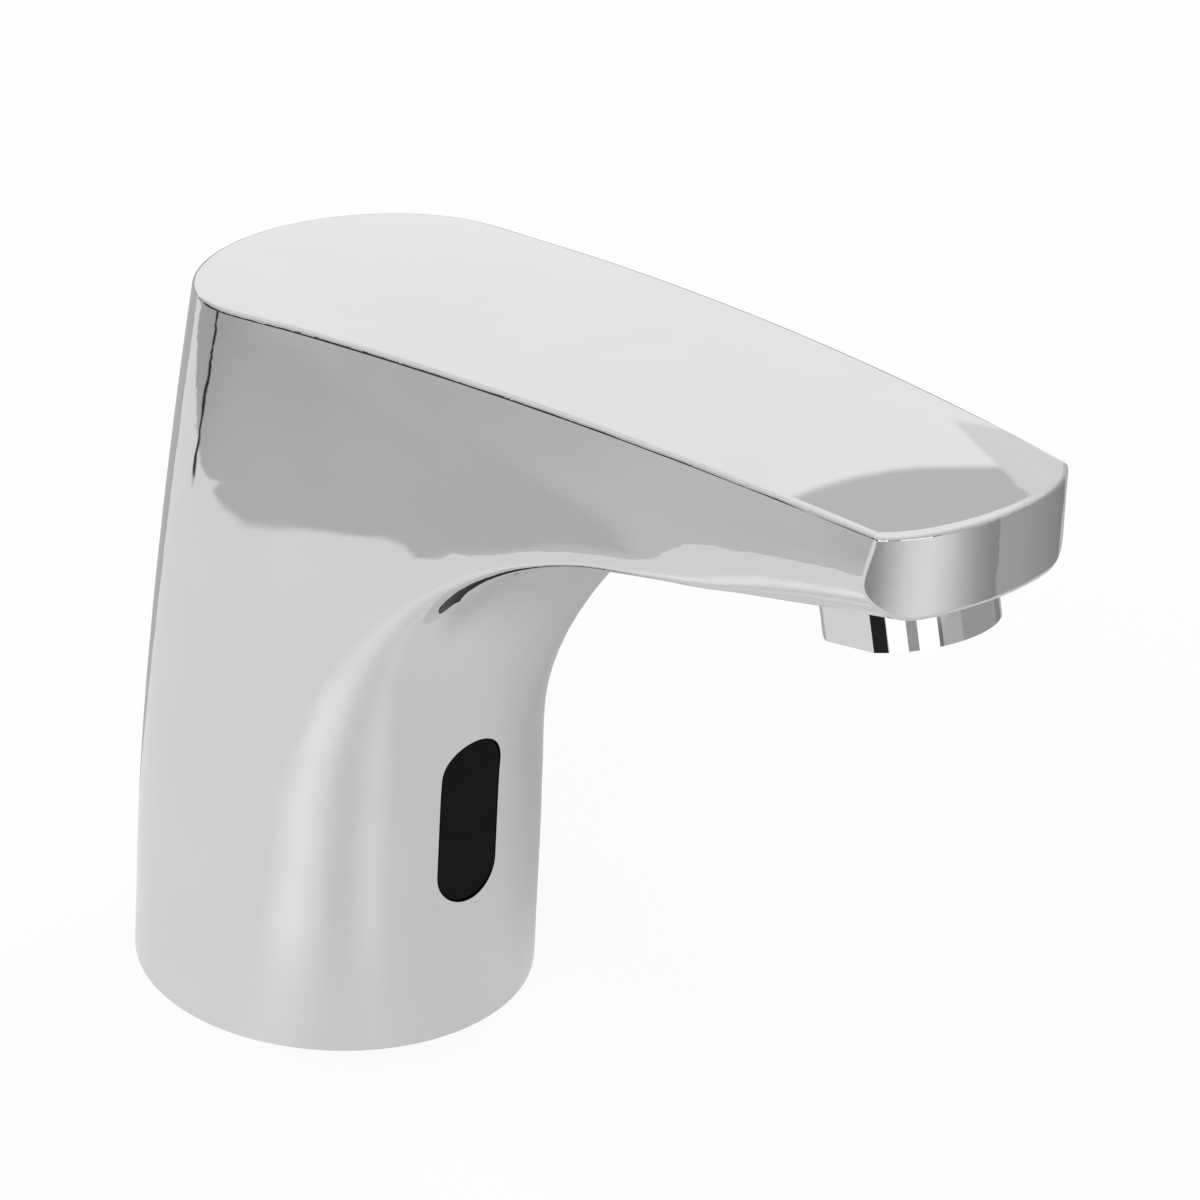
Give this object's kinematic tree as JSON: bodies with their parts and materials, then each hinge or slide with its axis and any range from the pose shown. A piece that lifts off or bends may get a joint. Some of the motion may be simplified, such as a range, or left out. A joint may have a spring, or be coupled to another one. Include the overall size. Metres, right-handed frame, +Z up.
{
  "type": "deck-mounted infrared sensor tap",
  "caption": "Touch-free basin tap: one-piece chromed column and forward spout, black infrared window on the column, aerator outlet under the tip.",
  "frame": {"origin": "centre of the round base, on the face that rests on the deck", "axes": "+Z up, +X forward along the spout"},
  "size_m": [0.1629, 0.0588, 0.1342],
  "materials": {
    "chrome_body": "polished chrome plate on cast brass",
    "chrome_ring": "polished chrome plate on turned brass",
    "raw_brass": "machined",
    "stainless_steel": "plain",
    "zinc_steel": "zinc plated",
    "black_rubber": "matte",
    "window_black": "gloss, dark to the eye and clear to infrared",
    "black_plastic": "moulded",
    "white_plastic": "moulded",
    "grey_plastic": "moulded",
    "tube_plastic": "extruded",
    "board_green": "solder mask",
    "smoke_lens": "clear to infrared",
    "red_lens": "translucent",
    "coil_copper": "enamelled winding"
  },
  "bodies": {
    "root": {"body_casting": "chrome_body", "aerator_shell": "chrome_ring", "base_plate": "raw_brass", "inlet_fitting": "raw_brass", "base_seal": "black_rubber", "cable_grommet": "black_rubber", "window_gasket": "black_rubber", "inlet_ring": "black_rubber", "aerator_washer": "black_rubber", "base_plate_screws": "stainless_steel", "check_spring": "stainless_steel", "piston_spring": "stainless_steel", "plunger_spring": "stainless_steel", "guide_tube": "stainless_steel", "pole_piece": "stainless_steel", "coil_nut": "stainless_steel", "module_bracket": "stainless_steel", "screen_pack": "stainless_steel", "inlet_filter": "stainless_steel", "coil_yoke": "zinc_steel", "sensor_window": "window_black", "sensor_housing": "black_plastic", "sensor_cover": "black_plastic", "circuit_board": "board_green", "ir_emitter": "smoke_lens", "ir_receiver": "smoke_lens", "status_lamp": "red_lens", "valve_body": "white_plastic", "valve_bonnet": "white_plastic", "check_cage": "white_plastic", "aerator_insert": "white_plastic", "flow_regulator": "grey_plastic", "coil_bobbin": "black_plastic", "solenoid_coil": "coil_copper", "outlet_tube": "tube_plastic"},
    "check_valve": {"check_poppet": "white_plastic"},
    "servo_piston": {"valve_piston": "white_plastic", "piston_pad": "black_rubber", "piston_ring": "black_rubber"},
    "plunger": {"solenoid_plunger": "stainless_steel", "plunger_seal": "black_rubber"}
  },
  "joints": [
    {"name": "plunger_lift", "type": "slide", "parent": "root", "child": "plunger", "axis": [0, 0, 1], "range_m": [0, 0.0015], "stiffness_N_per_m": 400, "springref_m": -0.001, "deforming": ["plunger_spring"]},
    {"name": "piston_lift", "type": "slide", "parent": "root", "child": "servo_piston", "axis": [0, 0, 1], "range_m": [0, 0.002], "deforming": ["piston_spring"]},
    {"name": "check_lift", "type": "slide", "parent": "root", "child": "check_valve", "axis": [0, 0, 1], "range_m": [0, 0.0025], "stiffness_N_per_m": 200, "springref_m": -0.001, "deforming": ["check_spring"]}
  ],
  "couplings": [
    {"joint": "piston_lift", "follows": "plunger_lift", "ratio": 1.3333}
  ]
}
